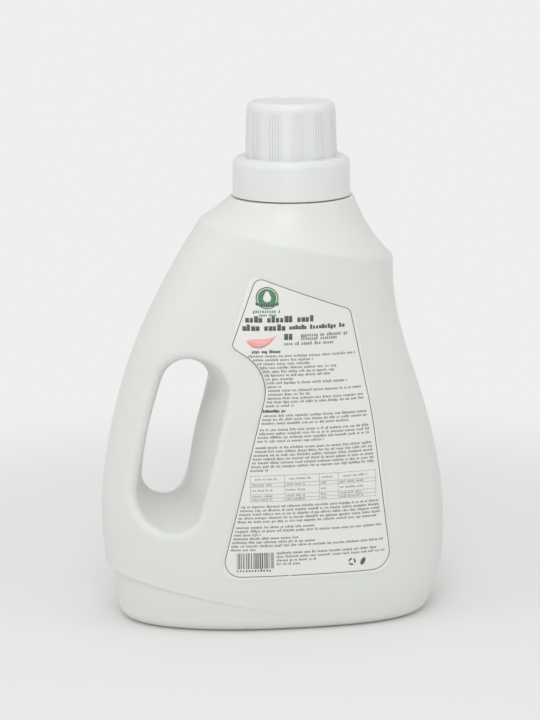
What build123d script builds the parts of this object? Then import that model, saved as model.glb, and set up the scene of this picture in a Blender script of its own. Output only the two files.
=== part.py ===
from build123d import *
from math import atan2, copysign, cos, degrees, pi, sin
import os

os.makedirs("parts", exist_ok=True)

# ---- Driving dimensions, mm -------------------------------------------------
# Frame: X runs from the handle side to the pouring side, Y from front to back,
# Z up from the surface that the bottle stands on. X = 0 is the middle of its width.

# Bottle body
half_width = 90.8             # from the middle to the widest point of either side
half_depth = 46.0             # deepest half of the body, on the neck axis
neck_x = 11.45                # the neck stands this far towards the pouring side
wall = 1.4                    # blow-moulded wall
collar_height = 222.5         # flat ledge under the cap
collar_radius = 32.0
crease_left_x, crease_left_z = -35.6, 211.9     # shoulder crease, handle side
crease_right_x, crease_right_z = 64.0, 190.3    # shoulder crease, pouring side
crease_depth = 44.0           # half depth of the body at the crease
crease_upright = 10.0         # the pouring side stands straight for this much below the crease
shoulder_left = (8.0, 4.9)    # a point of the shoulder's outline, measured from the crease
shoulder_right = (-10.5, 12.3)
shoulder_swell = 1.3          # power by which the shoulder's depth closes in: 1 is straight

# Side outlines below the crease: (inset from the widest line, height)
handle_outline = ((5.0, 0), (1.9, 27), (0, 55), (5.7, 101.9), (16.7, 139.9), (40.9, 189.5))
pouring_outline = ((10.5, 0), (3.9, 15), (0, 41), (5.6, 93.4), (15.6, 129), (25.2, 163.9))

crease_round = 4.0
heel_round = 8.0
heel_tuck = 4.5               # how much shallower the body is at its base
heel_share = 0.16             # share of the side outlines in which the base tucks in
handle_power = 2.3            # how square the section is towards the handle
pouring_power = 2.8           # and towards the pouring side
foot_step = 3.3               # the foot stands in by this much on the handle side
foot_height = 31.2            # top of the foot on the handle side
foot_fall = 13.0              # degrees, the foot's top falls away towards the pouring side
base_rise = 1.2               # hollow under the base, inside its standing rim
base_rim = 9.0                # width of the standing rim

# Handle opening: a bent slot, narrowest on the parting plane, and flared towards both faces.
# Its centre line has points (inset from the widest line, height).
slot_width = 25.4
slot_line = ((34.0, 77.8), (37.6, 101.4), (45.3, 126.3))
flare_depth = 40.0            # distance from the parting plane at which it has its face size
flare_width = 38.0
flare_line = ((30.5, 68.9), (38.5, 99.9), (45.0, 129.4))
slot_waist = 6.0              # softens the narrowest line
slot_rim_round = 4.0          # round on the opening's rim, on both faces

# Neck and its two-start thread
neck_radius = 27.0
neck_height = 15.8            # from the collar to the mouth
neck_wall = 2.0
mouth_round = 0.6
thread_lead = 10.0            # rise in one turn
thread_starts = 2
thread_turns = 0.8
thread_depth = 1.3
thread_root = 2.4             # width of a thread at its foot
thread_crest = 1.3            # and at its top
thread_start = 5.2            # middle of the neck thread's first end, above the collar

# Clearances
thread_gap = 0.35             # between neck and cap, over the thread crests
seat_gap = 0.1                # under and over the washer
spout_gap = 0.15              # between the spout and the bore
skirt_gap = 0.7               # between the collar and the closed cap

# Cap: a ribbed cup on a wider threaded skirt
skirt_wall = 1.5
skirt_flare = 0.35            # the skirt is this much wider at its lower edge
step_thickness = 2.0
step_round = 4.0
cup_radius = 23.2
cup_draft = 0.8               # narrower at the top by this much
cup_height = 28.1
cup_wall = 1.5
cup_round = 3.5
cup_dish = 0.5                # the top is dished inside its rim by this much
gate_radius = 1.0
rib_groups = 12
ribs_in_group = 5
rib_pitch = 3.75              # degrees
rib_width = 0.9
rib_proud = 0.35
rib_first_angle = 0.0         # degrees, where one group is centred

# Pour spout and sealing washer
flange_thickness = 1.2
spout_wall = 1.3
spout_depth = 14.0            # how far its floor lies below the mouth
spout_radius = 12.5
spout_draft = 1.5             # narrower at the lip by this much
spout_rise = 21.0             # lip above the mouth, on the pouring side
lip_slope = 24.0              # degrees
drain_slit = 5.0
washer_thickness = 1.4
washer_inner_radius = 23.2
washer_margin = 0.5           # between the washer and the skirt's bore

# Labels: thin film on the two broad faces, with the corners (x, z) and the round at each
label_thickness = 0.12
label_gap = 0.03
label_corners = [(-15.7, 189.3), (36.9, 170.3), (49.8, 99.0), (56.7, 30.6), (-34.3, 30.2), (-6.8, 139.4),
                 (-26.8, 152.9)]
label_rounds = [4, 7, 150, 8, 7, 12, 3]

# Fineness of the modelled sections
section_points = 32
slot_points = 28
body_steps = 12
shoulder_steps = 4
slot_steps = 8

# Sizes that follow from those above
bore_radius = neck_radius - neck_wall
skirt_bore = neck_radius + thread_depth + thread_gap
flange_top = neck_height + flange_thickness
washer_bottom = flange_top + seat_gap
step_bottom = washer_bottom + washer_thickness + seat_gap
step_top = step_bottom + step_thickness
cup_top = step_top + cup_height
neck_seat = Pos(neck_x, 0, collar_height)
rising = (Align.CENTER, Align.CENTER, Align.MIN)
hanging = (Align.CENTER, Align.CENTER, Align.MAX)


# ---- Bottle body --------------------------------------------------------------
def side_curve(side):
    """Outline of one side of the body, from the base up to the shoulder crease."""
    if side == "handle":
        points = [(inset - half_width, z) for inset, z in handle_outline]
        points += [(crease_left_x, crease_left_z)]
    else:
        points = [(half_width - inset, z) for inset, z in pouring_outline]
        points += [(crease_right_x, crease_right_z - crease_upright), (crease_right_x, crease_right_z)]
    return Spline(*[(x, 0, z) for x, z in points])


def shoulder_curve(side):
    """Outline of one side of the shoulder, from its crease up to the collar."""
    if side == "handle":
        crease, between, edge = (crease_left_x, crease_left_z), shoulder_left, neck_x - collar_radius
    else:
        crease, between, edge = (crease_right_x, crease_right_z), shoulder_right, neck_x + collar_radius
    points = [crease, (crease[0] + between[0], crease[1] + between[1]), (edge, collar_height)]
    return Spline(*[(x, 0, z) for x, z in points])


def section(left, right, depth, powers, grow):
    """Closed rounded section between two side points, deepest on the neck axis.

    Each quarter is x = reach * cos(a)^(2/p), y = depth * sin(a)^(2/p): an ellipse at p = 2,
    and squarer for a larger p.
    """
    tilt = (right - left).normalized()
    reach_left = (neck_x - left.X) / tilt.X
    centre = left + tilt * reach_left
    reaches = (reach_left + grow, (right.X - neck_x) / tilt.X + grow)
    points = []
    for k in range(section_points):
        angle = 2 * pi * k / section_points
        side = 1 if cos(angle) > 0 else 0
        along = reaches[side] * copysign(abs(cos(angle)) ** (2 / powers[side]), cos(angle))
        across = (depth + grow) * copysign(abs(sin(angle)) ** (2 / powers[side]), sin(angle))
        points.append(centre + tilt * along + Vector(0, across, 0))
    return Wire([Spline(*points, periodic=True)])


def body_loft(grow):
    """Solid between base and crease, grown outwards by this much."""
    left, right = side_curve("handle"), side_curve("pouring")
    wires = []
    for k in range(body_steps + 1):
        t = k / body_steps
        tuck = heel_tuck * max(0, 1 - t / heel_share) ** 2
        depth = half_depth - tuck + (crease_depth - half_depth) * t ** 2
        powers = (handle_power + (2 - handle_power) * t, pouring_power + (2 - pouring_power) * t ** 2)
        wires.append(section(left @ t, right @ t, depth, powers, grow))
    return Solid.make_loft(wires)


def shoulder_loft(grow):
    """Solid between crease and collar, grown outwards by this much."""
    left, right = shoulder_curve("handle"), shoulder_curve("pouring")
    wires = []
    for k in range(shoulder_steps + 1):
        t = k / shoulder_steps
        depth = collar_radius + (crease_depth - collar_radius) * (1 - t) ** shoulder_swell
        wires.append(section(left @ t, right @ t, depth, (2, 2), grow))
    return Solid.make_loft(wires)


def slot_cutter(grow):
    """Through cutter for the handle opening, grown by this much all round."""
    wires = []
    reach = 1.25 * half_depth
    for k in range(slot_steps + 1):
        y = reach * (2 * k / slot_steps - 1)
        share = ((y ** 2 + slot_waist ** 2) ** 0.5 - slot_waist) / (flare_depth - slot_waist / 2)
        line = [(a[0] + (b[0] - a[0]) * share - half_width, a[1] + (b[1] - a[1]) * share)
                for a, b in zip(slot_line, flare_line)]
        width = slot_width + (flare_width - slot_width) * share + 2 * grow
        outline = SlotArc(ThreePointArc(*line), width).wire()
        points = [outline.position_at(j / slot_points) for j in range(slot_points)]
        wires.append(Wire([Spline(*points, periodic=True)]).moved(Location((0, y, 0), (90, 0, 0))))
    return Solid.make_loft(wires)


def cut_slot(form, grow):
    """Takes the handle opening out of a form and rounds its rim on both faces."""
    form -= slot_cutter(grow)
    low, high = flare_line[0][1] - flare_width, flare_line[2][1] + flare_width
    rim = [e for e in form.edges() if e.bounding_box().min.Z > low and e.bounding_box().max.Z < high
           and abs(e.center().Y) > half_depth / 3]
    return fillet(rim, slot_rim_round - grow)


def crease_edges(form):
    """The closed edge on which body and shoulder meet."""
    return [e for e in form.edges()
            if abs(e.bounding_box().max.Z - crease_left_z) < 1 and abs(e.bounding_box().min.Z - crease_right_z) < 1]


def foot_crescent(body, grow):
    """What is taken away round the foot, below a plane that falls towards the pouring side."""
    block = Box(half_width + 12, 4 * half_depth, collar_height, align=(Align.MIN, Align.CENTER, Align.MAX))
    block = Pos(-half_width, 0, foot_height - grow) * Rot(0, foot_fall, 0) * block
    return block - Pos(foot_step, 0, 0) * body


def bottle_outside():
    """Outer form of the body, up to the collar."""
    body = body_loft(0)
    body = fillet(body.edges().group_by(Axis.Z)[0], heel_round)
    form = body + shoulder_loft(0)
    form = fillet(crease_edges(form), crease_round)
    form -= foot_crescent(body, 0)
    return cut_slot(form, 0)


def bottle_inside():
    """Hollow of the body and the handle, up to the collar."""
    body = body_loft(-wall)
    body -= Box(4 * half_width, 4 * half_depth, 2 * (base_rise + 1.5 * wall))
    body = fillet(body.edges().group_by(Axis.Z)[0], heel_round)
    form = Pos(0, 0, -wall / 2) * (body + shoulder_loft(-wall))
    form -= Pos(0, 0, collar_height - wall) * Box(4 * half_width, 4 * half_depth, neck_height, align=rising)
    form -= foot_crescent(body, -wall)
    return cut_slot(form, wall)


def base_hollow():
    """Shallow hollow under the base, inside its standing rim."""
    left, right = side_curve("handle") @ 0, side_curve("pouring") @ 0
    outline = section(left + Vector(foot_step, 0, 0), right, half_depth - heel_tuck,
                      (handle_power, pouring_power), -heel_round - base_rim)
    return extrude(Face(outline), amount=base_rise, dir=(0, 0, 1))


# ---- Neck and threads ---------------------------------------------------------
def thread(radius, depth, start):
    """Thread ridges on a cylinder, outward for a positive depth and inward for a negative one."""
    helix = Helix(pitch=thread_lead, height=thread_lead * thread_turns, radius=radius)
    sunk = -copysign(neck_wall / 4, depth)
    outline = Polyline((sunk, -thread_root / 2), (0, -thread_root / 2), (depth, -thread_crest / 2),
                       (depth, thread_crest / 2), (0, thread_root / 2), (sunk, thread_root / 2), close=True)
    profile = Plane(origin=helix @ 0, x_dir=(1, 0, 0), z_dir=helix % 0) * make_face(outline)
    ridge = sweep(profile, path=helix, is_frenet=True)
    return [Pos(0, 0, start) * Rot(0, 0, 360 * k / thread_starts) * ridge for k in range(thread_starts)]


def make_bottle():
    neck = Cylinder(neck_radius, neck_height, align=rising)
    neck = fillet(neck.edges().group_by(Axis.Z)[-1], mouth_round)
    neck += thread(neck_radius, thread_depth, thread_start)
    bore = Pos(0, 0, -4 * wall) * Cylinder(bore_radius, neck_height + 5 * wall, align=rising)
    outside = bottle_outside() + neck_seat * neck
    return outside - (bottle_inside() + neck_seat * bore) - base_hollow()


# ---- Cap ----------------------------------------------------------------------
def rib_bars():
    """Grip ribs on the cup, in evenly spaced groups."""
    length = cup_height - cup_round - 2
    lean = degrees(atan2(cup_draft, cup_height))
    bar = Pos(cup_radius - cup_draft / 2, 0, step_top + 1 + length / 2) * Rot(0, -lean, 0) * Box(
        2 * rib_proud, rib_width, length)
    first = rib_first_angle - rib_pitch * (ribs_in_group - 1) / 2
    return [Rot(0, 0, first + group * 360 / rib_groups + k * rib_pitch) * bar
            for group in range(rib_groups) for k in range(ribs_in_group)]


def make_cap():
    skirt = Pos(0, 0, skirt_gap) * Cone(skirt_bore + skirt_wall + skirt_flare, skirt_bore + skirt_wall,
                                        step_top - skirt_gap, align=rising)
    skirt = fillet(skirt.edges().group_by(Axis.Z)[-1], step_round)
    cup = Pos(0, 0, step_bottom) * Cone(cup_radius, cup_radius - cup_draft, cup_top - step_bottom, align=rising)
    cup = fillet(cup.edges().group_by(Axis.Z)[-1], cup_round)
    dish_radius = cup_radius - cup_draft - cup_round
    dish = Pos(0, 0, cup_top) * Cone(dish_radius - cup_dish, dish_radius, cup_dish, align=hanging)
    gate = Pos(0, 0, cup_top - cup_dish) * Cylinder(gate_radius, cup_dish / 2, align=rising)
    cup_inside = Pos(0, 0, step_bottom) * Cone(cup_radius - cup_wall, cup_radius - cup_wall - cup_draft,
                                               cup_top - cup_dish - cup_wall - step_bottom, align=rising)
    cup_inside = fillet(cup_inside.edges().group_by(Axis.Z)[-1], cup_round - cup_wall)
    skirt_inside = Cylinder(skirt_bore, step_bottom, align=rising)
    half_pitch = thread_lead / thread_starts / 2
    cap = skirt + cup + rib_bars() - dish + gate - cup_inside - skirt_inside
    return neck_seat * (cap + thread(skirt_bore, -thread_depth, thread_start - half_pitch))


# ---- Pour spout and washer -----------------------------------------------------
def make_spout():
    floor = Pos(0, 0, neck_height - spout_depth)
    plug_radius = bore_radius - spout_gap
    height = spout_depth + spout_rise
    insert = floor * Cylinder(plug_radius, spout_depth, align=rising)
    insert += Pos(0, 0, neck_height) * Cylinder(neck_radius, flange_thickness, align=rising)
    insert -= floor * Pos(0, 0, spout_wall) * Cylinder(plug_radius - spout_wall, height, align=rising)
    tube = Cone(spout_radius, spout_radius - spout_draft, height, align=rising)
    tube -= Pos(spout_radius, 0, height) * Rot(0, -lip_slope, 0) * Box(
        8 * spout_radius, 4 * spout_radius, 2 * spout_rise, align=rising)
    way = Cone(spout_radius - spout_wall, spout_radius - spout_wall - spout_draft, height, align=rising)
    slit = Pos(-spout_radius, 0, spout_wall) * Box(2 * spout_radius, drain_slit, spout_depth + spout_rise / 3,
                                                   align=rising)
    return neck_seat * (insert + floor * tube - floor * way - floor * slit)


def make_washer():
    ring = Cylinder(skirt_bore - washer_margin, washer_thickness, align=rising)
    ring -= Cylinder(washer_inner_radius, washer_thickness, align=rising)
    return neck_seat * Pos(0, 0, washer_bottom) * ring


# ---- Labels ---------------------------------------------------------------------
def make_label(side):
    """Film that follows the body; side is -1 for the front face and 1 for the back."""
    outline = FilletPolyline(*label_corners, radius=label_rounds, close=True)
    prism = extrude(Plane.XZ * make_face(outline), amount=side * -2 * half_depth)
    return (prism & body_loft(label_gap + label_thickness)) - body_loft(label_gap)


if __name__ == "__main__":
    pieces = {"bottle": make_bottle(), "cap": make_cap(), "pour_spout": make_spout(),
              "sealing_washer": make_washer(), "back_label": make_label(-1), "front_label": make_label(1)}
    for name, solid in pieces.items():
        export_step(solid, f"parts/{name}.step")
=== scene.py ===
import logging
import math
from dataclasses import dataclass
from enum import Enum

import bpy
import numpy as np
from mathutils import Matrix, Vector


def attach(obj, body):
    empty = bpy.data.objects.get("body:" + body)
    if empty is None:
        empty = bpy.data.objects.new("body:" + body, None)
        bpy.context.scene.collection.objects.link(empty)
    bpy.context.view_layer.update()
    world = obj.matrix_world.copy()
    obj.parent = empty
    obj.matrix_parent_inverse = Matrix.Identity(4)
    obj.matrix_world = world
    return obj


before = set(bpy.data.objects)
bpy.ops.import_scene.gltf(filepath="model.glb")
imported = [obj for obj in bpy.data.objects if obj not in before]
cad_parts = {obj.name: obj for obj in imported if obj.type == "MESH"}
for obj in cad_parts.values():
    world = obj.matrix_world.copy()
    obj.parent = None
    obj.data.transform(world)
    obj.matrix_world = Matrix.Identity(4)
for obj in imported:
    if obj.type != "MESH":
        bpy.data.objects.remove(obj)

LOG = logging.getLogger("detergent_bottle")
MM = 0.001
Colour = tuple[float, float, float]
Pair = tuple[float, float]


class Face(Enum):
    """The bottle's two broad faces, by the sign of Y that each one looks along."""

    BACK = -1
    FRONT = 1


class Weight(Enum):
    """How heavy a line of small print is: width of a mark as a share of its cell."""

    LIGHT = 0.55
    BOOK = 0.68
    BOLD = 0.86


# ---- Finishes -----------------------------------------------------------------
class NodeSheet:
    """A new node material with shortcuts for the nodes that the finishes share."""

    def __init__(self, name: str) -> None:
        """Starts the material with its principled shader."""
        self.material = bpy.data.materials.new(name)
        self.material.use_nodes = True
        self.nodes = self.material.node_tree.nodes
        self.links = self.material.node_tree.links
        self.shader = self.nodes["Principled BSDF"]
        self.place = self.nodes.new("ShaderNodeTexCoord").outputs["Object"]

    def set(self, **values: float | tuple) -> None:
        """Sets sockets of the principled shader; an underscore in a name stands for a space."""
        for name, value in values.items():
            self.shader.inputs[name.replace("_", " ")].default_value = value

    def noise(self, scale: float, detail: float = 2.0,
              stretch: Colour = (1.0, 1.0, 1.0)) -> bpy.types.NodeSocket:
        """Adds noise on object coordinates.

        Args:
            scale: how many cells go into a metre.
            detail: number of finer layers.
            stretch: factors on the three coordinates.

        Returns:
            The noise's value.
        """
        mapping = self.nodes.new("ShaderNodeMapping")
        mapping.inputs["Scale"].default_value = stretch
        self.links.new(self.place, mapping.inputs["Vector"])
        texture = self.nodes.new("ShaderNodeTexNoise")
        texture.inputs["Scale"].default_value = scale
        texture.inputs["Detail"].default_value = detail
        self.links.new(mapping.outputs["Vector"], texture.inputs["Vector"])
        return texture.outputs["Fac"]

    def math(self, operation: str, first: bpy.types.NodeSocket, second: float = 0.0) -> bpy.types.NodeSocket:
        """Adds a math node on one socket and one number, and returns its value."""
        node = self.nodes.new("ShaderNodeMath")
        node.operation = operation
        self.links.new(first, node.inputs[0])
        node.inputs[1].default_value = second
        return node.outputs["Value"]

    def tint(self, share: bpy.types.NodeSocket, low: Colour, high: Colour) -> bpy.types.NodeSocket:
        """Mixes two colours by a share and returns the colour."""
        node = self.nodes.new("ShaderNodeMix")
        node.data_type = "RGBA"
        node.inputs["A"].default_value = (*low, 1.0)
        node.inputs["B"].default_value = (*high, 1.0)
        self.links.new(share, node.inputs["Factor"])
        return node.outputs["Result"]

    def band(self, axis: str, half: float) -> bpy.types.NodeSocket:
        """Returns 1 on the plane where a coordinate is zero, falling to 0 at a distance of half."""
        split = self.nodes.new("ShaderNodeSeparateXYZ")
        self.links.new(self.place, split.inputs["Vector"])
        ramp = self.nodes.new("ShaderNodeMapRange")
        ramp.interpolation_type = "SMOOTHSTEP"
        ramp.inputs["From Max"].default_value = half
        ramp.inputs["To Min"].default_value = 1.0
        ramp.inputs["To Max"].default_value = 0.0
        self.links.new(self.math("ABSOLUTE", split.outputs[axis]), ramp.inputs["Value"])
        return ramp.outputs["Result"]

    def bump(self, height: bpy.types.NodeSocket, depth: float, under: bpy.types.NodeSocket | None = None,
             strength: float = 1.0) -> bpy.types.NodeSocket:
        """Adds a bump of a depth in metres over an earlier one and returns the normal."""
        node = self.nodes.new("ShaderNodeBump")
        node.inputs["Strength"].default_value = strength
        node.inputs["Distance"].default_value = depth
        self.links.new(height, node.inputs["Height"])
        if under is not None:
            self.links.new(under, node.inputs["Normal"])
        return node.outputs["Normal"]


@dataclass(frozen=True)
class BlownPlastic:
    """Satin blow-moulded polyethylene, a little milky, with soft ripples and the mould's parting seam.

    Args:
        name: the material's name.
        thin, thick: linear colours of thinner and thicker places of the wall.
        roughness: surface roughness.
        seam: half width of the parting seam, in metres.
    """

    name: str = "blown_polyethylene"
    thin: Colour = (0.735, 0.738, 0.688)
    thick: Colour = (0.765, 0.768, 0.722)
    roughness: float = 0.36
    seam: float = 0.00035

    def make(self) -> bpy.types.Material:
        """Builds the finish: tint by slow noise, bump from ripples, grain and the seam."""
        sheet = NodeSheet(self.name)
        sheet.set(Roughness=self.roughness, Subsurface_Weight=0.28, Subsurface_Scale=0.006,
                  Subsurface_Radius=(1.0, 0.72, 0.45), IOR=1.5)
        colour = sheet.tint(sheet.noise(16.0, 3.0), self.thin, self.thick)
        sheet.links.new(colour, sheet.shader.inputs["Base Color"])
        ripples = sheet.bump(sheet.noise(45.0, 1.0, (1.0, 1.0, 0.35)), 0.00012)
        grain = sheet.bump(sheet.noise(1500.0, 2.0), 0.000012, ripples)
        seam = sheet.bump(sheet.band("Y", self.seam), 0.00012, grain)
        sheet.links.new(seam, sheet.shader.inputs["Normal"])
        return sheet.material


@dataclass(frozen=True)
class MouldedPlastic:
    """Injection-moulded plastic with faint level flow bands.

    Args:
        name: the material's name.
        low, high: linear colours of the darkest and palest bands.
        roughness: surface roughness.
        milk: weight of the light scattered in the wall.
        bands: how many flow bands go into a metre of height.
    """

    name: str
    low: Colour
    high: Colour
    roughness: float
    milk: float
    bands: float = 240.0

    def make(self) -> bpy.types.Material:
        """Builds the finish: tint and bump by noise that is stretched round the part."""
        sheet = NodeSheet(self.name)
        sheet.set(Roughness=self.roughness, Subsurface_Weight=self.milk, Subsurface_Scale=0.004,
                  Subsurface_Radius=(1.0, 0.85, 0.7), IOR=1.49)
        flow = sheet.noise(self.bands, 2.0, (0.08, 0.08, 1.0))
        sheet.links.new(sheet.tint(flow, self.low, self.high), sheet.shader.inputs["Base Color"])
        waves = sheet.bump(flow, 0.00002)
        grain = sheet.bump(sheet.noise(1800.0, 1.0), 0.000006, waves)
        sheet.links.new(grain, sheet.shader.inputs["Normal"])
        return sheet.material


@dataclass(frozen=True)
class Foam:
    """Closed-cell foam: matt, with fine pits.

    Args:
        name: the material's name.
        colour: linear colour.
        cells: how many cells go into a metre.
    """

    name: str = "washer_foam"
    colour: Colour = (0.78, 0.78, 0.74)
    cells: float = 2600.0

    def make(self) -> bpy.types.Material:
        """Builds the finish: pits from a cell pattern, with painted shade at their bottoms."""
        sheet = NodeSheet(self.name)
        sheet.set(Roughness=0.85)
        cells = sheet.nodes.new("ShaderNodeTexVoronoi")
        cells.inputs["Scale"].default_value = self.cells
        sheet.links.new(sheet.place, cells.inputs["Vector"])
        pits = cells.outputs["Distance"]
        # Painted shade: the pits' bottoms take 0.82 of the foam's colour, darkening the recesses.
        painted_pit_shade = tuple(0.82 * value for value in self.colour)
        sheet.links.new(sheet.tint(pits, painted_pit_shade, self.colour), sheet.shader.inputs["Base Color"])
        sheet.links.new(sheet.bump(pits, 0.0001), sheet.shader.inputs["Normal"])
        return sheet.material


@dataclass(frozen=True)
class ClearFilm:
    """Clear self-adhesive film: it takes the wall's colour, and its skin is glossier.

    Args:
        name: the material's name.
        colour: linear colour of the wall seen through it.
        roughness: surface roughness.
    """

    name: str = "clear_label_film"
    colour: Colour = (0.748, 0.756, 0.716)
    roughness: float = 0.25

    def make(self) -> bpy.types.Material:
        """Builds the finish: slow tint with faint ripples from the glue under it."""
        sheet = NodeSheet(self.name)
        sheet.set(Roughness=self.roughness, IOR=1.49)
        paler = tuple(min(1.0, 1.02 * value) for value in self.colour)
        tint = sheet.tint(sheet.noise(60.0, 2.0), self.colour, paler)
        sheet.links.new(tint, sheet.shader.inputs["Base Color"])
        sheet.links.new(sheet.bump(sheet.noise(90.0, 2.0), 0.00003), sheet.shader.inputs["Normal"])
        return sheet.material


@dataclass(frozen=True)
class Ink:
    """Printing ink on the film.

    Args:
        name: the material's name.
        colour: linear colour where the ink lies full.
        patchy: how much paler it is where it lies thin.
    """

    name: str
    colour: Colour
    patchy: float = 0.12

    def make(self) -> bpy.types.Material:
        """Builds the finish: an even colour that fine noise lightens a little."""
        sheet = NodeSheet(self.name)
        sheet.set(Roughness=0.4)
        pale = tuple(value + (1.0 - value) * self.patchy for value in self.colour)
        tint = sheet.tint(sheet.noise(1200.0, 2.0), self.colour, pale)
        sheet.links.new(tint, sheet.shader.inputs["Base Color"])
        sheet.links.new(sheet.bump(sheet.noise(2500.0, 1.0), 0.000004), sheet.shader.inputs["Normal"])
        return sheet.material


# ---- Surfaces -----------------------------------------------------------------
class FilmFace:
    """The outer face of a label's film as a smooth surface, y as a polynomial of x and z.

    The film follows the body, so its own mesh gives the surface: the corners of its outward
    triangles are fitted by least squares with every product x^i z^j of a total degree up to
    the one set here, with x and z scaled to run from -1 to 1.
    """

    degree = 8
    steep = 0.3

    def __init__(self, node: str, face: Face) -> None:
        """Fits the surface to the node's mesh.

        Args:
            node: the label's CAD node.
            face: the broad face of the bottle that it lies on.
        """
        self.side = face.value
        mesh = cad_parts[node].data
        points = np.empty(3 * len(mesh.vertices))
        mesh.vertices.foreach_get("co", points)
        points = points.reshape(-1, 3)
        corners = np.empty(len(mesh.loops), dtype=np.int64)
        mesh.loops.foreach_get("vertex_index", corners)
        triangles = points[corners.reshape(-1, 3)]
        normals = np.cross(triangles[:, 1] - triangles[:, 0], triangles[:, 2] - triangles[:, 0])
        lengths = np.linalg.norm(normals, axis=1)
        outward = self.side * normals[:, 1] > self.steep * np.maximum(lengths, 1e-18)
        outer = triangles[outward].reshape(-1, 3)
        low, high = outer.min(axis=0), outer.max(axis=0)
        self.centre, self.half = (low + high) / 2, (high - low) / 2
        powers = [(i, j) for i in range(self.degree + 1) for j in range(self.degree + 1 - i)]
        self.powers = np.array(powers).T
        terms = self.terms(outer[:, 0], outer[:, 2])
        self.weights, *_ = np.linalg.lstsq(terms, outer[:, 1], rcond=None)
        error = np.abs(terms @ self.weights - outer[:, 1]).max()
        LOG.info("%s: face fitted to %.3f mm over %d points", node, error / MM, len(outer))

    def terms(self, x: np.ndarray, z: np.ndarray) -> np.ndarray:
        """Returns each product x^i z^j at the points, one column a product."""
        u = ((x - self.centre[0]) / self.half[0])[..., None]
        v = ((z - self.centre[2]) / self.half[2])[..., None]
        return u ** self.powers[0] * v ** self.powers[1]

    def depth(self, x: np.ndarray, z: np.ndarray) -> np.ndarray:
        """Returns y of the face at each x and z, in metres."""
        return self.terms(x, z) @ self.weights


@dataclass(frozen=True)
class InkLayer:
    """A thin closed layer of ink that lies on a film face.

    Args:
        face: the film's outer face.
        lift: height of the ink's outer skin over the film, in millimetres.
        root: height of its inner skin.
    """

    face: FilmFace
    lift: float = 0.045
    root: float = 0.012

    def lay(self, name: str, grids: list[tuple[np.ndarray, np.ndarray]], ink: bpy.types.Material) -> None:
        """Makes one piece from grids of x and z in millimetres.

        Each grid is one patch of ink, or a stack of patches with the same number of points. Its outer
        skin is (x, y + side * lift, z) with y the film's face, its inner skin the same with root, and a
        rim joins the two.

        Args:
            name: the piece's name.
            grids: pairs of arrays shaped (rows, columns) or (patches, rows, columns).
            ink: its material.
        """
        corners, faces, start = [], [], 0
        for x, z in grids:
            skin, quads = self.patch(*(grid if grid.ndim == 3 else grid[None] for grid in (x, z)))
            corners.append(skin)
            faces.append(quads + start)
            start += len(skin)
        piece = add_mesh(name, np.concatenate(corners), np.concatenate(faces), ink)
        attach(piece, "bottle")

    def patch(self, x: np.ndarray, z: np.ndarray) -> tuple[np.ndarray, np.ndarray]:
        """Returns the corners, in metres, and the quads of a stack of closed patches."""
        along = (x[:, 1, 0] - x[:, 0, 0]) * (z[:, 0, 1] - z[:, 0, 0])
        along -= (z[:, 1, 0] - z[:, 0, 0]) * (x[:, 0, 1] - x[:, 0, 0])
        if along[0] * self.face.side > 0:
            x, z = x[:, :, ::-1], z[:, :, ::-1]
        depth = self.face.depth(x * MM, z * MM)
        skins = [np.stack([x * MM, depth + self.face.side * height * MM, z * MM], axis=-1)
                 for height in (self.lift, self.root)]
        index = np.arange(x.size).reshape(x.shape)
        outer = np.stack([index[:, :-1, :-1], index[:, 1:, :-1], index[:, 1:, 1:], index[:, :-1, 1:]],
                         axis=-1)
        border = np.concatenate([index[:, :-1, 0], index[:, -1, :-1], index[:, :0:-1, -1],
                                 index[:, 0, :0:-1]], axis=1)
        ahead = np.roll(border, -1, axis=1)
        rim = np.stack([border, border + x.size, ahead + x.size, ahead], axis=-1)
        quads = [outer.reshape(-1, 4), outer.reshape(-1, 4)[:, ::-1] + x.size, rim.reshape(-1, 4)]
        return np.concatenate([skin.reshape(-1, 3) for skin in skins]), np.concatenate(quads)


def add_mesh(name: str, corners: np.ndarray, faces: np.ndarray,
             material: bpy.types.Material) -> bpy.types.Object:
    """Puts corners and four-sided faces into a new object at the origin.

    Args:
        name: the object's name.
        corners: points in metres, shaped (count, 3).
        faces: indices of the corners, shaped (count, 4).
        material: its finish.

    Returns:
        The new object.
    """
    mesh = bpy.data.meshes.new(name)
    mesh.vertices.add(len(corners))
    mesh.vertices.foreach_set("co", corners.astype(np.float32).ravel())
    mesh.loops.add(faces.size)
    mesh.loops.foreach_set("vertex_index", faces.astype(np.int32).ravel())
    mesh.polygons.add(len(faces))
    mesh.polygons.foreach_set("loop_start", np.arange(0, faces.size, 4, dtype=np.int32))
    mesh.update(calc_edges=True)
    mesh.validate()
    mesh.materials.append(material)
    piece = bpy.data.objects.new(name, mesh)
    bpy.context.collection.objects.link(piece)
    LOG.info("made %s: %d faces", name, len(faces))
    return piece


def rounded_loop(corners: tuple[Pair, ...], rounds: tuple[float, ...], spacing: float) -> np.ndarray:
    """Returns a closed outline with an arc in each corner, as evenly spaced points.

    An arc of radius r in a corner that turns by a starts r * tan(a / 2) before it, and its points are
    the centre plus r times the directions between the two normals.
    """
    points = np.array(corners)
    before, after = np.roll(points, 1, axis=0) - points, np.roll(points, -1, axis=0) - points
    before /= np.linalg.norm(before, axis=1)[:, None]
    after /= np.linalg.norm(after, axis=1)[:, None]
    pieces = []
    for corner, back, on, radius in zip(points, before, after, rounds):
        half = np.arccos(np.clip(back @ on, -1, 1)) / 2
        middle = (back + on) / np.linalg.norm(back + on)
        centre = corner + middle * radius / np.sin(half)
        start, end = corner + back * radius / np.tan(half), corner + on * radius / np.tan(half)
        first = np.arctan2(*(start - centre)[::-1])
        turn = (np.arctan2(*(end - centre)[::-1]) - first + np.pi) % (2 * np.pi) - np.pi
        angles = first + turn * np.linspace(0, 1, 16)
        pieces.append(centre + radius * np.stack([np.cos(angles), np.sin(angles)], axis=1))
    loop = np.concatenate(pieces)
    return respace(np.concatenate([loop, loop[:1]]), spacing)


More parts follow.
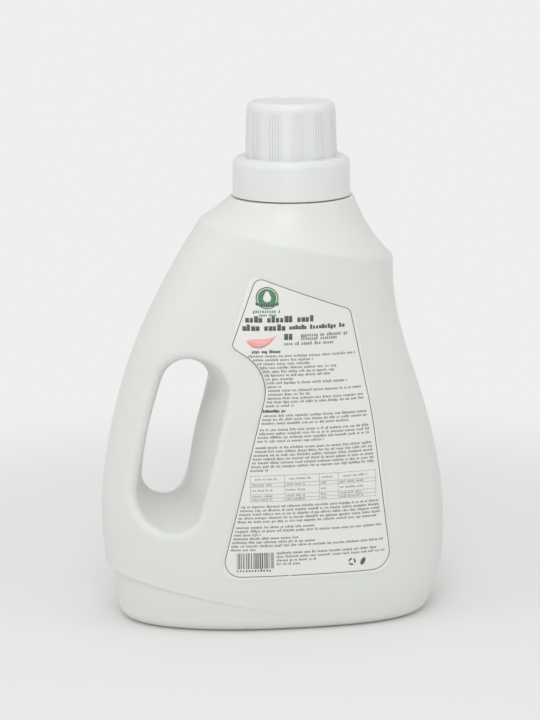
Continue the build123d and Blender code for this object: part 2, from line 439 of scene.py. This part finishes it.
def respace(path: np.ndarray, spacing: float) -> np.ndarray:
    """Returns points evenly spaced along a path, its ends kept."""
    run = np.concatenate([[0], np.cumsum(np.linalg.norm(np.diff(path, axis=0), axis=1))])
    places = np.linspace(0, run[-1], max(2, int(round(run[-1] / spacing)) + 1))
    return np.stack([np.interp(places, run, path[:, k]) for k in range(2)], axis=1)


def ribbon(path: np.ndarray, width: float | np.ndarray) -> tuple[np.ndarray, np.ndarray]:
    """Carries a line of ink along a path: each point plus and minus half the width along its normal."""
    along = np.gradient(path, axis=0)
    along /= np.maximum(np.linalg.norm(along, axis=1), 1e-9)[:, None]
    normal = np.stack([-along[:, 1], along[:, 0]], axis=1) * np.reshape(width, (-1, 1)) / 2
    edges = np.stack([path - normal, path, path + normal], axis=1)
    return edges[..., 0], edges[..., 1]


def ring(centre: Pair, inner: float, outer: float, start: float = 0.0, turn: float = 360.0) -> tuple:
    """A flat ring or a part of one: centre plus r * (cos a, sin a), with r from inner to outer."""
    angle = np.radians(np.linspace(start, start + turn, max(6, int(turn / 7.5))))[:, None]
    radius = np.array([[inner, (inner + outer) / 2, outer]])
    return centre[0] + radius * np.cos(angle), centre[1] + radius * np.sin(angle)


def boxes(low_x: np.ndarray, high_x: np.ndarray, low_z: np.ndarray, high_z: np.ndarray) -> tuple:
    """A stack of upright rectangles, each a grid of two by two points."""
    x = np.stack([low_x, high_x], axis=-1)[:, :, None] + np.zeros((1, 1, 2))
    z = np.stack([low_z, high_z], axis=-1)[:, None, :] + np.zeros((1, 2, 1))
    return x, z


# ---- Label print ----------------------------------------------------------------
@dataclass(frozen=True)
class Block:
    """A block of small print that keeps a margin to the printed border.

    Args:
        top: height of its first line's middle, in millimetres.
        shares: for each line, how much of the width it fills.
        left: where its lines start, if not at the border's left side.
    """

    top: float
    shares: tuple[float, ...]
    left: float | None = None


@dataclass(frozen=True)
class LabelPrint:
    """What is printed on the back label: border, badge, headings, blocks, table, bars and marks.

    All the print stands for its kind and spells nothing: each letter is a plain upright mark.
    Sizes are in millimetres, in the bottle's frame.
    """

    corners: tuple[Pair, ...] = ((-12.9, 187.8), (34.6, 169.9), (45.9, 114.0), (56.0, 32.3), (-33.3, 32.0),
                                 (-6.3, 139.6), (-25.8, 152.4))
    rounds: tuple[float, ...] = (4.0, 4.0, 200.0, 9.5, 8.0, 22.0, 3.0)
    border_width: float = 0.38
    border_break: float = 0.9
    margin: float = 1.5
    line_pitch: float = 1.98
    mark_height: float = 0.95
    mark_cell: float = 0.76
    badge_at: Pair = (-7.8, 177.4)
    badge_radius: float = 5.6
    table_left: float = -17.7
    table_right: float = 47.4
    table_top: float = 85.8
    table_bottom: float = 72.1
    bars_left: float = -25.1
    bars_right: float = -5.7
    bars_top: float = 44.9
    bars_bottom: float = 36.4
    seed: int = 7

    def make(self, layer: InkLayer, inks: dict[str, bpy.types.Material]) -> None:
        """Prints everything in order.

        Args:
            layer: the film's ink layer.
            inks: the materials by colour name.
        """
        draw = np.random.default_rng(self.seed)
        self.border(layer, inks["olive"])
        self.badge(layer, inks)
        self.headings(layer, inks, draw)
        self.blocks(layer, inks["grey"], draw)
        self.table(layer, inks["grey"], draw)
        self.bars(layer, inks["olive"], draw)
        self.signs(layer, inks["olive"])
        self.swash(layer, inks)

    def border(self, layer: InkLayer, ink: bpy.types.Material, name: str = "print_border") -> None:
        """Prints the border line, which has a small break in its lower run."""
        loop = rounded_loop(self.corners, self.rounds, 1.2)[:-1]
        first = int(np.argmin(np.hypot(loop[:, 0] - 1.0, loop[:, 1] - self.corners[3][1])))
        loop = np.roll(loop, -first, axis=0)
        loop = np.concatenate([loop, loop[:1]])
        direction = (loop[-1] - loop[-2]) / np.linalg.norm(loop[-1] - loop[-2])
        loop[-1] -= direction * self.border_break
        layer.lay(name, [ribbon(loop, self.border_width)], ink)

    def badge(self, layer: InkLayer, inks: dict[str, bpy.types.Material]) -> None:
        """Prints a plain round badge: a ring, a field with a drop left open, and a band across its foot."""
        x, z = self.badge_at
        radius = self.badge_radius
        drop_height, drop_half = 0.62 * radius, 0.36 * radius
        layer.lay("badge_ring", [ring(self.badge_at, 0.9 * radius, radius)], inks["green"])
        # The field runs from the drop's outline out to a circle. The drop is a circle whose top is drawn
        # up to a point: its radius at angle a is half + (height - half) * s^8, with s the sine of a, or
        # zero below the middle.
        angle = np.linspace(0, 2 * np.pi, 73)[:, None]
        up = np.maximum(np.sin(angle), 0.0)
        inner = drop_half * (1 + (drop_height / drop_half - 1) * up ** 8)
        share = np.linspace(0, 1, 5)[None, :]
        reach = inner + (0.82 * radius - inner) * share
        layer.lay("badge_field", [(x + reach * np.cos(angle), z + reach * np.sin(angle))], inks["leaf"])
        across = np.linspace(-1, 1, 25)[:, None]
        height = np.linspace(-0.13, 0.13, 3)[None, :] * radius
        sag = 0.16 * radius * across ** 2
        over = InkLayer(layer.face, layer.lift + 0.02, layer.lift)
        over.lay("badge_band", [(x + 1.02 * radius * across + 0 * height, z - 0.66 * radius + sag + height)],
                 inks["green"])

    def headings(self, layer: InkLayer, inks: dict[str, bpy.types.Material],
                 draw: np.random.Generator) -> None:
        """Prints the caption under the badge, the two title lines, the large mark and the short headings."""
        bold, light = Weight.BOLD, Weight.LIGHT
        layer.lay("caption", [self.line(-14.8, 0.0, 170.5, draw, 1.3, 1.15, light),
                              self.line(-11.9, -3.0, 168.6, draw, 0.9, 0.8, Weight.BOOK)], inks["leaf"])
        layer.lay("title", [self.line(-18.7, 17.3, 166.2, draw, 2.35, 2.15, bold),
                            self.line(-20.2, 1.4, 162.0, draw, 2.35, 2.15, bold),
                            self.line(3.0, 31.6, 162.1, draw, 1.6, 1.5, bold),
                            self.line(0.4, 7.2, 157.6, draw, 3.1, 2.35, bold, words=False)], inks["olive"])
        layer.lay("subtitle", [self.line(8.9, 33.5, 158.1, draw, 1.25, 1.1, Weight.BOOK),
                               self.line(8.9, 27.8, 156.3, draw, 1.25, 1.1, Weight.BOOK),
                               self.line(0.4, 25.9, 153.9, draw, 1.25, 1.1, Weight.BOOK)], inks["grey"])
        layer.lay("short_headings", [self.line(-15.7, -1.3, 150.0, draw, 1.1, 0.95, bold),
                                     self.line(-10.9, 0.8, 119.4, draw, 1.1, 0.95, bold)], inks["olive"])

    def line(self, left: float, right: float, middle: float, draw: np.random.Generator,
             height: float = 0.0, cell: float = 0.0, weight: Weight = Weight.BOOK,
             words: bool = True) -> tuple[np.ndarray, np.ndarray]:
        """Sets one line of marks in even cells, some left open between words and some drawn taller.

        Args:
            left, right: the line's ends.
            middle: height of its middle.
            draw: the source of random numbers.
            height: height of a plain mark, or 0 for the small print's.
            cell: width of a mark and its gap, or 0 for the small print's.
            weight: how much of a cell a mark fills.
            words: whether the line is broken into words.

        Returns:
            A stack of rectangles.
        """
        height, cell = height or self.mark_height, cell or self.mark_cell
        count = max(1, int((right - left) / cell))
        starts = left + cell * np.arange(count)
        filled = np.ones(count, dtype=bool)
        if words:
            gaps = np.cumsum(draw.integers(3, 11, count))
            filled[gaps[gaps < count - 1]] = False
        tall = draw.random(count)
        top = middle + height / 2 + np.where(tall > 0.84, 0.38 * height, 0.0)
        foot = middle - height / 2 - np.where(tall < 0.07, 0.32 * height, 0.0)
        width = cell * weight.value * draw.uniform(0.8, 1.1, count)
        return boxes(starts[filled], (starts + width)[filled], foot[filled], top[filled])

    def left_side(self, height: float) -> float:
        """Returns where the border's left side stands at a height."""
        loop = rounded_loop(self.corners, self.rounds, 0.6)
        return float(loop[np.abs(loop[:, 1] - height) < 0.6][:, 0].min())

    def right_side(self, height: float) -> float:
        """Returns where the border's right side stands at a height."""
        loop = rounded_loop(self.corners, self.rounds, 0.6)
        return float(loop[np.abs(loop[:, 1] - height) < 0.6][:, 0].max())

    def blocks(self, layer: InkLayer, ink: bpy.types.Material, draw: np.random.Generator) -> None:
        """Prints the blocks of small print."""
        blocks = (Block(147.8, (1, 0.59, 0.53, 0.78, 0.75, 0.7, 0.29, 0.86, 0.15, 1, 0.44, 1, 1, 0.28)),
                  Block(117.0, (1, 1, 0.82)), Block(109.7, (1, 1, 1, 0.58)),
                  Block(100.4, (1, 1, 1, 1, 1, 1, 0.15)), Block(69.4, (1, 1, 1, 1, 0.97)),
                  Block(58.4, (0.54, 1, 0.18, 0.43, 0.54, 1, 0.17)), Block(44.4, (0.93, 1, 0.36, 0.22), -4.7))
        for number, block in enumerate(blocks, 1):
            lines = []
            for row, share in enumerate(block.shares):
                height = block.top - row * self.line_pitch
                left = self.left_side(height) + self.margin if block.left is None else block.left
                right = self.right_side(height) - 1.4 * self.margin
                lines.append(self.line(left, left + (right - left) * share, height, draw))
            layer.lay(f"small_print_{number}", lines, ink)

    def table(self, layer: InkLayer, ink: bpy.types.Material, draw: np.random.Generator) -> None:
        """Prints the ruled table: its frame, upright and level lines, and a few marks in its cells."""
        left, right, top, bottom = self.table_left, self.table_right, self.table_top, self.table_bottom
        width, tall = right - left, top - bottom
        columns = [left, left + 0.269 * width, left + 0.544 * width, left + 0.694 * width, right]
        rows = [top - share * tall for share in (0.0, 0.29, 0.43, 0.72, 0.87, 1.0)]
        ruled = [ribbon(respace(np.array([(x, bottom), (x, top)]), 2.0), 0.16) for x in columns]
        ruled += [ribbon(respace(np.array([(left, z), (right, z)]), 2.0), 0.16) for z in rows]
        layer.lay("table_rules", ruled, ink)
        cells = []
        for column, (start, end) in enumerate(zip(columns[:-1], columns[1:])):
            for row, (high, low) in enumerate(zip(rows[:-1], rows[1:])):
                fill = (0.68, 0.62, 0.42, 0.7)[column] if row else 0.72
                inset = 0.9 if row else (end - start) * (1 - fill) / 2
                first = start + inset
                cells.append(self.line(first, first + (end - start - 1.8) * fill, (high + low) / 2,
                                       draw, 0.8, 0.7, Weight.LIGHT))
        layer.lay("table_cells", cells, ink)

    def bars(self, layer: InkLayer, ink: bpy.types.Material, draw: np.random.Generator) -> None:
        """Prints a block of upright bars with random widths and gaps, and small marks under it."""
        steps = draw.choice([0.22, 0.44, 0.66], size=120, p=[0.55, 0.3, 0.15])
        edges = self.bars_left + np.concatenate([[0], np.cumsum(steps)])
        edges = edges[edges < self.bars_right]
        edges = edges[:len(edges) // 2 * 2]
        low, high = np.full(len(edges) // 2, self.bars_bottom), np.full(len(edges) // 2, self.bars_top)
        marks = self.line(self.bars_left, self.bars_right, self.bars_bottom - 1.1, draw, 0.9, 1.5,
                          Weight.LIGHT, words=False)
        layer.lay("bars", [boxes(edges[0::2], edges[1::2], low, high), marks], ink)

    def signs(self, layer: InkLayer, ink: bpy.types.Material) -> None:
        """Prints the two small round signs: a ring of three arcs, and a slanting oval."""
        arcs = [ring((34.6, 37.7), 1.15, 2.0, 90 + 120 * k, 84) for k in range(3)]
        angle = np.linspace(0, 2 * np.pi, 33)[:, None]
        share = np.linspace(0.02, 1, 3)[None, :]
        long, wide, slant = 2.1 * share * np.cos(angle), 1.15 * share * np.sin(angle), math.radians(62)
        oval = (40.4 + long * math.cos(slant) - wide * math.sin(slant),
                37.5 + long * math.sin(slant) + wide * math.cos(slant))
        layer.lay("small_signs", [*arcs, oval], ink)

    def swash(self, layer: InkLayer, inks: dict[str, bpy.types.Material]) -> None:
        """Prints a pink brush stroke: a curved spine with a width that swells and runs out to a point."""
        share = np.linspace(0.0, 1.0, 41)
        spine = np.stack([-18.4 + 15.0 * share,
                          155.6 - 1.9 * np.sin(np.pi * share) + 2.7 * share ** 2], axis=1)
        swell = 4.6 * np.sin(np.pi * share ** 0.72) ** 1.15 + 0.04
        layer.lay("swash", [ribbon(spine, swell)], inks["pink"])
        over = InkLayer(layer.face, layer.lift + 0.02, layer.lift)
        streaks = []
        for offset, start, end in ((0.22, 0.12, 0.7), (-0.2, 0.2, 0.78), (0.02, 0.3, 0.92)):
            part = (share > start) & (share < end)
            path = spine[part] + np.array([0.0, 1.0]) * (offset * swell[part])[:, None]
            streaks.append(ribbon(path, 0.4 * np.sin(np.pi * np.linspace(0.02, 0.98, part.sum())) + 0.03))
        over.lay("swash_streaks", streaks, inks["blush"])


@dataclass(frozen=True)
class FrontPrint:
    """A plain design for the front label: the border, a broad green field and two pink strokes.

    Args:
        border: the print whose border this one shares.
        field_at, field_half: middle and half axes of the oval field, in millimetres.
        strokes: for each stroke, its height, left end, length and swell, in millimetres.
    """

    border: LabelPrint = LabelPrint()
    field_at: Pair = (8.0, 128.0)
    field_half: Pair = (24.0, 15.0)
    strokes: tuple[tuple[float, ...], ...] = ((84.0, -12.0, 46.0, 9.0), (66.0, -8.0, 50.0, 6.5))

    def make(self, layer: InkLayer, inks: dict[str, bpy.types.Material]) -> None:
        """Prints the border, the oval field and the strokes under it."""
        self.border.border(layer, inks["olive"], "front_border")
        angle = np.linspace(0, 2 * np.pi, 97)[:, None]
        share = np.linspace(0.02, 1, 9)[None, :]
        x, z = self.field_at
        wide, tall = self.field_half
        layer.lay("front_field", [(x + wide * share * np.cos(angle), z + tall * share * np.sin(angle))],
                  inks["leaf"])
        layer.lay("front_ring", [(x + wide * reach * np.cos(angle), z + tall * reach * np.sin(angle))
                                 for reach in [np.array([[1.06, 1.085, 1.11]])]], inks["green"])
        pieces = []
        run = np.linspace(0.0, 1.0, 49)
        for height, left, length, swell in self.strokes:
            spine = np.stack([left + length * run, height + 3.5 * np.sin(2.2 * np.pi * run)], axis=1)
            pieces.append(ribbon(spine, swell * np.sin(np.pi * run ** 0.75) ** 1.1 + 0.05))
        layer.lay("front_strokes", pieces, inks["pink"])


# ---- The bottle and its set -------------------------------------------------------
@dataclass(frozen=True)
class Bottle:
    """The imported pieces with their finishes, and the print on both labels."""

    body: BlownPlastic = BlownPlastic()
    closure: MouldedPlastic = MouldedPlastic("cap_polypropylene", (0.728, 0.745, 0.728), (0.752, 0.768, 0.75),
                                             0.24, 0.12)
    insert: MouldedPlastic = MouldedPlastic("spout_polyethylene", (0.66, 0.68, 0.64), (0.7, 0.72, 0.68),
                                            0.33, 0.35)
    washer: Foam = Foam()
    film: ClearFilm = ClearFilm()
    back: LabelPrint = LabelPrint()
    front: FrontPrint = FrontPrint()

    def build(self) -> None:
        """Dresses the nodes and prints the labels."""
        film = self.film.make()
        for node, finish in (("bottle", self.body.make()), ("cap", self.closure.make()),
                             ("pour_spout", self.insert.make()), ("sealing_washer", self.washer.make()),
                             ("back_label", film), ("front_label", film)):
            dress(node, finish)
        inks = {ink.name.removeprefix("ink_"): ink.make() for ink in (
            Ink("ink_olive", (0.052, 0.055, 0.038)), Ink("ink_grey", (0.2, 0.205, 0.18)),
            Ink("ink_green", (0.012, 0.1, 0.045)), Ink("ink_leaf", (0.02, 0.17, 0.06)),
            Ink("ink_pink", (0.86, 0.33, 0.31)), Ink("ink_blush", (0.85, 0.55, 0.5)))}
        self.back.make(InkLayer(FilmFace("back_label", Face.BACK)), inks)
        self.front.make(InkLayer(FilmFace("front_label", Face.FRONT)), inks)


def dress(node: str, material: bpy.types.Material) -> None:
    """Gives a CAD node a finish.

    Args:
        node: the node's name.
        material: the finish.
    """
    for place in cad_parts[node].material_slots:
        place.link = "OBJECT"
        place.material = material
    LOG.info("dressed %s", node)


@dataclass(frozen=True)
class Lamp:
    """A square soft box that faces the middle of the bottle.

    Args:
        name: the lamp's name.
        azimuth: degrees round the object, 0 in front of it.
        elevation: degrees above the floor.
        distance, size: in metres.
        power: in watts.
    """

    name: str
    azimuth: float
    elevation: float
    distance: float
    size: float
    power: float

    def hang(self, target: Vector) -> None:
        """Places the lamp."""
        data = bpy.data.lights.new(self.name, "AREA")
        data.size = self.size
        data.energy = self.power
        lamp = bpy.data.objects.new(self.name, data)
        bpy.context.collection.objects.link(lamp)
        away = direction(self.azimuth, self.elevation)
        turned = away.to_track_quat("Z", "Y").to_matrix().to_4x4()
        lamp.matrix_world = Matrix.Translation(target + away * self.distance) @ turned


def direction(azimuth: float, elevation: float) -> Vector:
    """Returns the unit vector from the object towards an azimuth and elevation in degrees."""
    side, height = math.radians(azimuth), math.radians(elevation)
    return Vector((math.sin(side) * math.cos(height), -math.cos(side) * math.cos(height), math.sin(height)))


@dataclass(frozen=True)
class Studio:
    """Camera, lamps, floor and backdrop.

    Args:
        target: the point that the camera looks at.
        distance: from that point to the camera.
        azimuth, elevation, roll: the camera's angles in degrees.
        lens: focal length in millimetres on a 36 mm sensor.
        pale: linear grey of the backdrop.
        near, far: where the floor starts and ends to run into the backdrop, from the bottle.
    """

    target: tuple[float, float, float] = (-0.00065, 0.0, 0.1355)
    distance: float = 1.1
    azimuth: float = -8.0
    elevation: float = 13.2
    roll: float = 0.6
    lens: float = 104.93
    pale: float = 0.862
    near: float = 0.18
    far: float = 0.5
    lamps: tuple[Lamp, ...] = (Lamp("key", -10.0, 48.0, 1.3, 0.5, 3.2),
                               Lamp("left", -75.0, 28.0, 1.5, 0.9, 2.2),
                               Lamp("right", 62.0, 22.0, 1.6, 0.8, 1.2),
                               Lamp("top", 20.0, 86.0, 1.4, 0.9, 2.4),
                               Lamp("fill", -12.0, 5.0, 1.6, 1.0, 3.0))
    world: float = 0.7

    def build(self) -> None:
        """Makes the whole set."""
        self.camera()
        self.floor()
        for lamp in self.lamps:
            lamp.hang(Vector(self.target))
        self.surround()

    def camera(self) -> None:
        """Places the camera."""
        data = bpy.data.cameras.new("camera")
        data.lens = self.lens
        data.clip_end = 50.0
        camera = bpy.data.objects.new("camera", data)
        bpy.context.collection.objects.link(camera)
        back = direction(self.azimuth, self.elevation)
        camera.matrix_world = (Matrix.Translation(Vector(self.target) + back * self.distance)
                               @ back.to_track_quat("Z", "Y").to_matrix().to_4x4()
                               @ Matrix.Rotation(math.radians(-self.roll), 4, "Z"))
        bpy.context.scene.camera = camera

    def seen(self, nodes: bpy.types.Nodes, links: bpy.types.NodeLinks) -> bpy.types.NodeSocket:
        """Returns 1 for rays that show a surface: from the camera, mirrored or through glass."""
        path = nodes.new("ShaderNodeLightPath")
        total = path.outputs["Is Camera Ray"]
        for name in ("Is Glossy Ray", "Is Transmission Ray"):
            add = nodes.new("ShaderNodeMath")
            add.operation = "MAXIMUM"
            links.new(total, add.inputs[0])
            links.new(path.outputs[name], add.inputs[1])
            total = add.outputs["Value"]
        return total

    def floor(self) -> None:
        """Lays the floor: a paper that takes the bottle's shadow and runs into the even backdrop."""
        data = bpy.data.meshes.new("floor")
        data.from_pydata([(-30, -30, 0), (30, -30, 0), (30, 30, 0), (-30, 30, 0)], [], [(0, 1, 2, 3)])
        floor = bpy.data.objects.new("floor", data)
        bpy.context.collection.objects.link(floor)
        material = bpy.data.materials.new("floor_paper")
        material.use_nodes = True
        nodes, links = material.node_tree.nodes, material.node_tree.links
        paper = nodes["Principled BSDF"]
        paper.inputs["Base Color"].default_value = (0.8, 0.8, 0.8, 1.0)
        paper.inputs["Roughness"].default_value = 0.95
        backdrop = nodes.new("ShaderNodeEmission")
        backdrop.inputs["Color"].default_value = (self.pale, self.pale, self.pale, 1.0)
        place = nodes.new("ShaderNodeTexCoord")
        reach = nodes.new("ShaderNodeVectorMath")
        reach.operation = "LENGTH"
        links.new(place.outputs["Object"], reach.inputs[0])
        fade = nodes.new("ShaderNodeMapRange")
        fade.interpolation_type = "SMOOTHERSTEP"
        fade.inputs["From Min"].default_value = self.near
        fade.inputs["From Max"].default_value = self.far
        links.new(reach.outputs["Value"], fade.inputs["Value"])
        share = nodes.new("ShaderNodeMath")
        share.operation = "MULTIPLY"
        links.new(fade.outputs["Result"], share.inputs[0])
        links.new(self.seen(nodes, links), share.inputs[1])
        mix = nodes.new("ShaderNodeMixShader")
        links.new(share.outputs["Value"], mix.inputs[0])
        links.new(paper.outputs["BSDF"], mix.inputs[1])
        links.new(backdrop.outputs["Emission"], mix.inputs[2])
        links.new(mix.outputs["Shader"], nodes["Material Output"].inputs["Surface"])
        data.materials.append(material)

    def surround(self) -> None:
        """Sets the world: an even pale backdrop that lights the bottle at a lower level."""
        world = bpy.data.worlds.new("studio")
        world.use_nodes = True
        nodes, links = world.node_tree.nodes, world.node_tree.links
        lit = nodes["Background"]
        lit.inputs["Color"].default_value = (1.0, 1.0, 1.0, 1.0)
        lit.inputs["Strength"].default_value = self.world
        shown = nodes.new("ShaderNodeBackground")
        shown.inputs["Color"].default_value = (self.pale, self.pale, self.pale, 1.0)
        path = nodes.new("ShaderNodeLightPath")
        mix = nodes.new("ShaderNodeMixShader")
        links.new(path.outputs["Is Camera Ray"], mix.inputs[0])
        links.new(lit.outputs["Background"], mix.inputs[1])
        links.new(shown.outputs["Background"], mix.inputs[2])
        links.new(mix.outputs["Shader"], nodes["World Output"].inputs["Surface"])
        bpy.context.scene.world = world


def main() -> None:
    """Builds the set and dresses the bottle."""
    logging.basicConfig(level=logging.INFO)
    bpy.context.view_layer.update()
    bpy.context.scene.view_settings.view_transform = "Standard"
    Studio().build()
    Bottle().build()


if __name__ == "__main__":
    main()
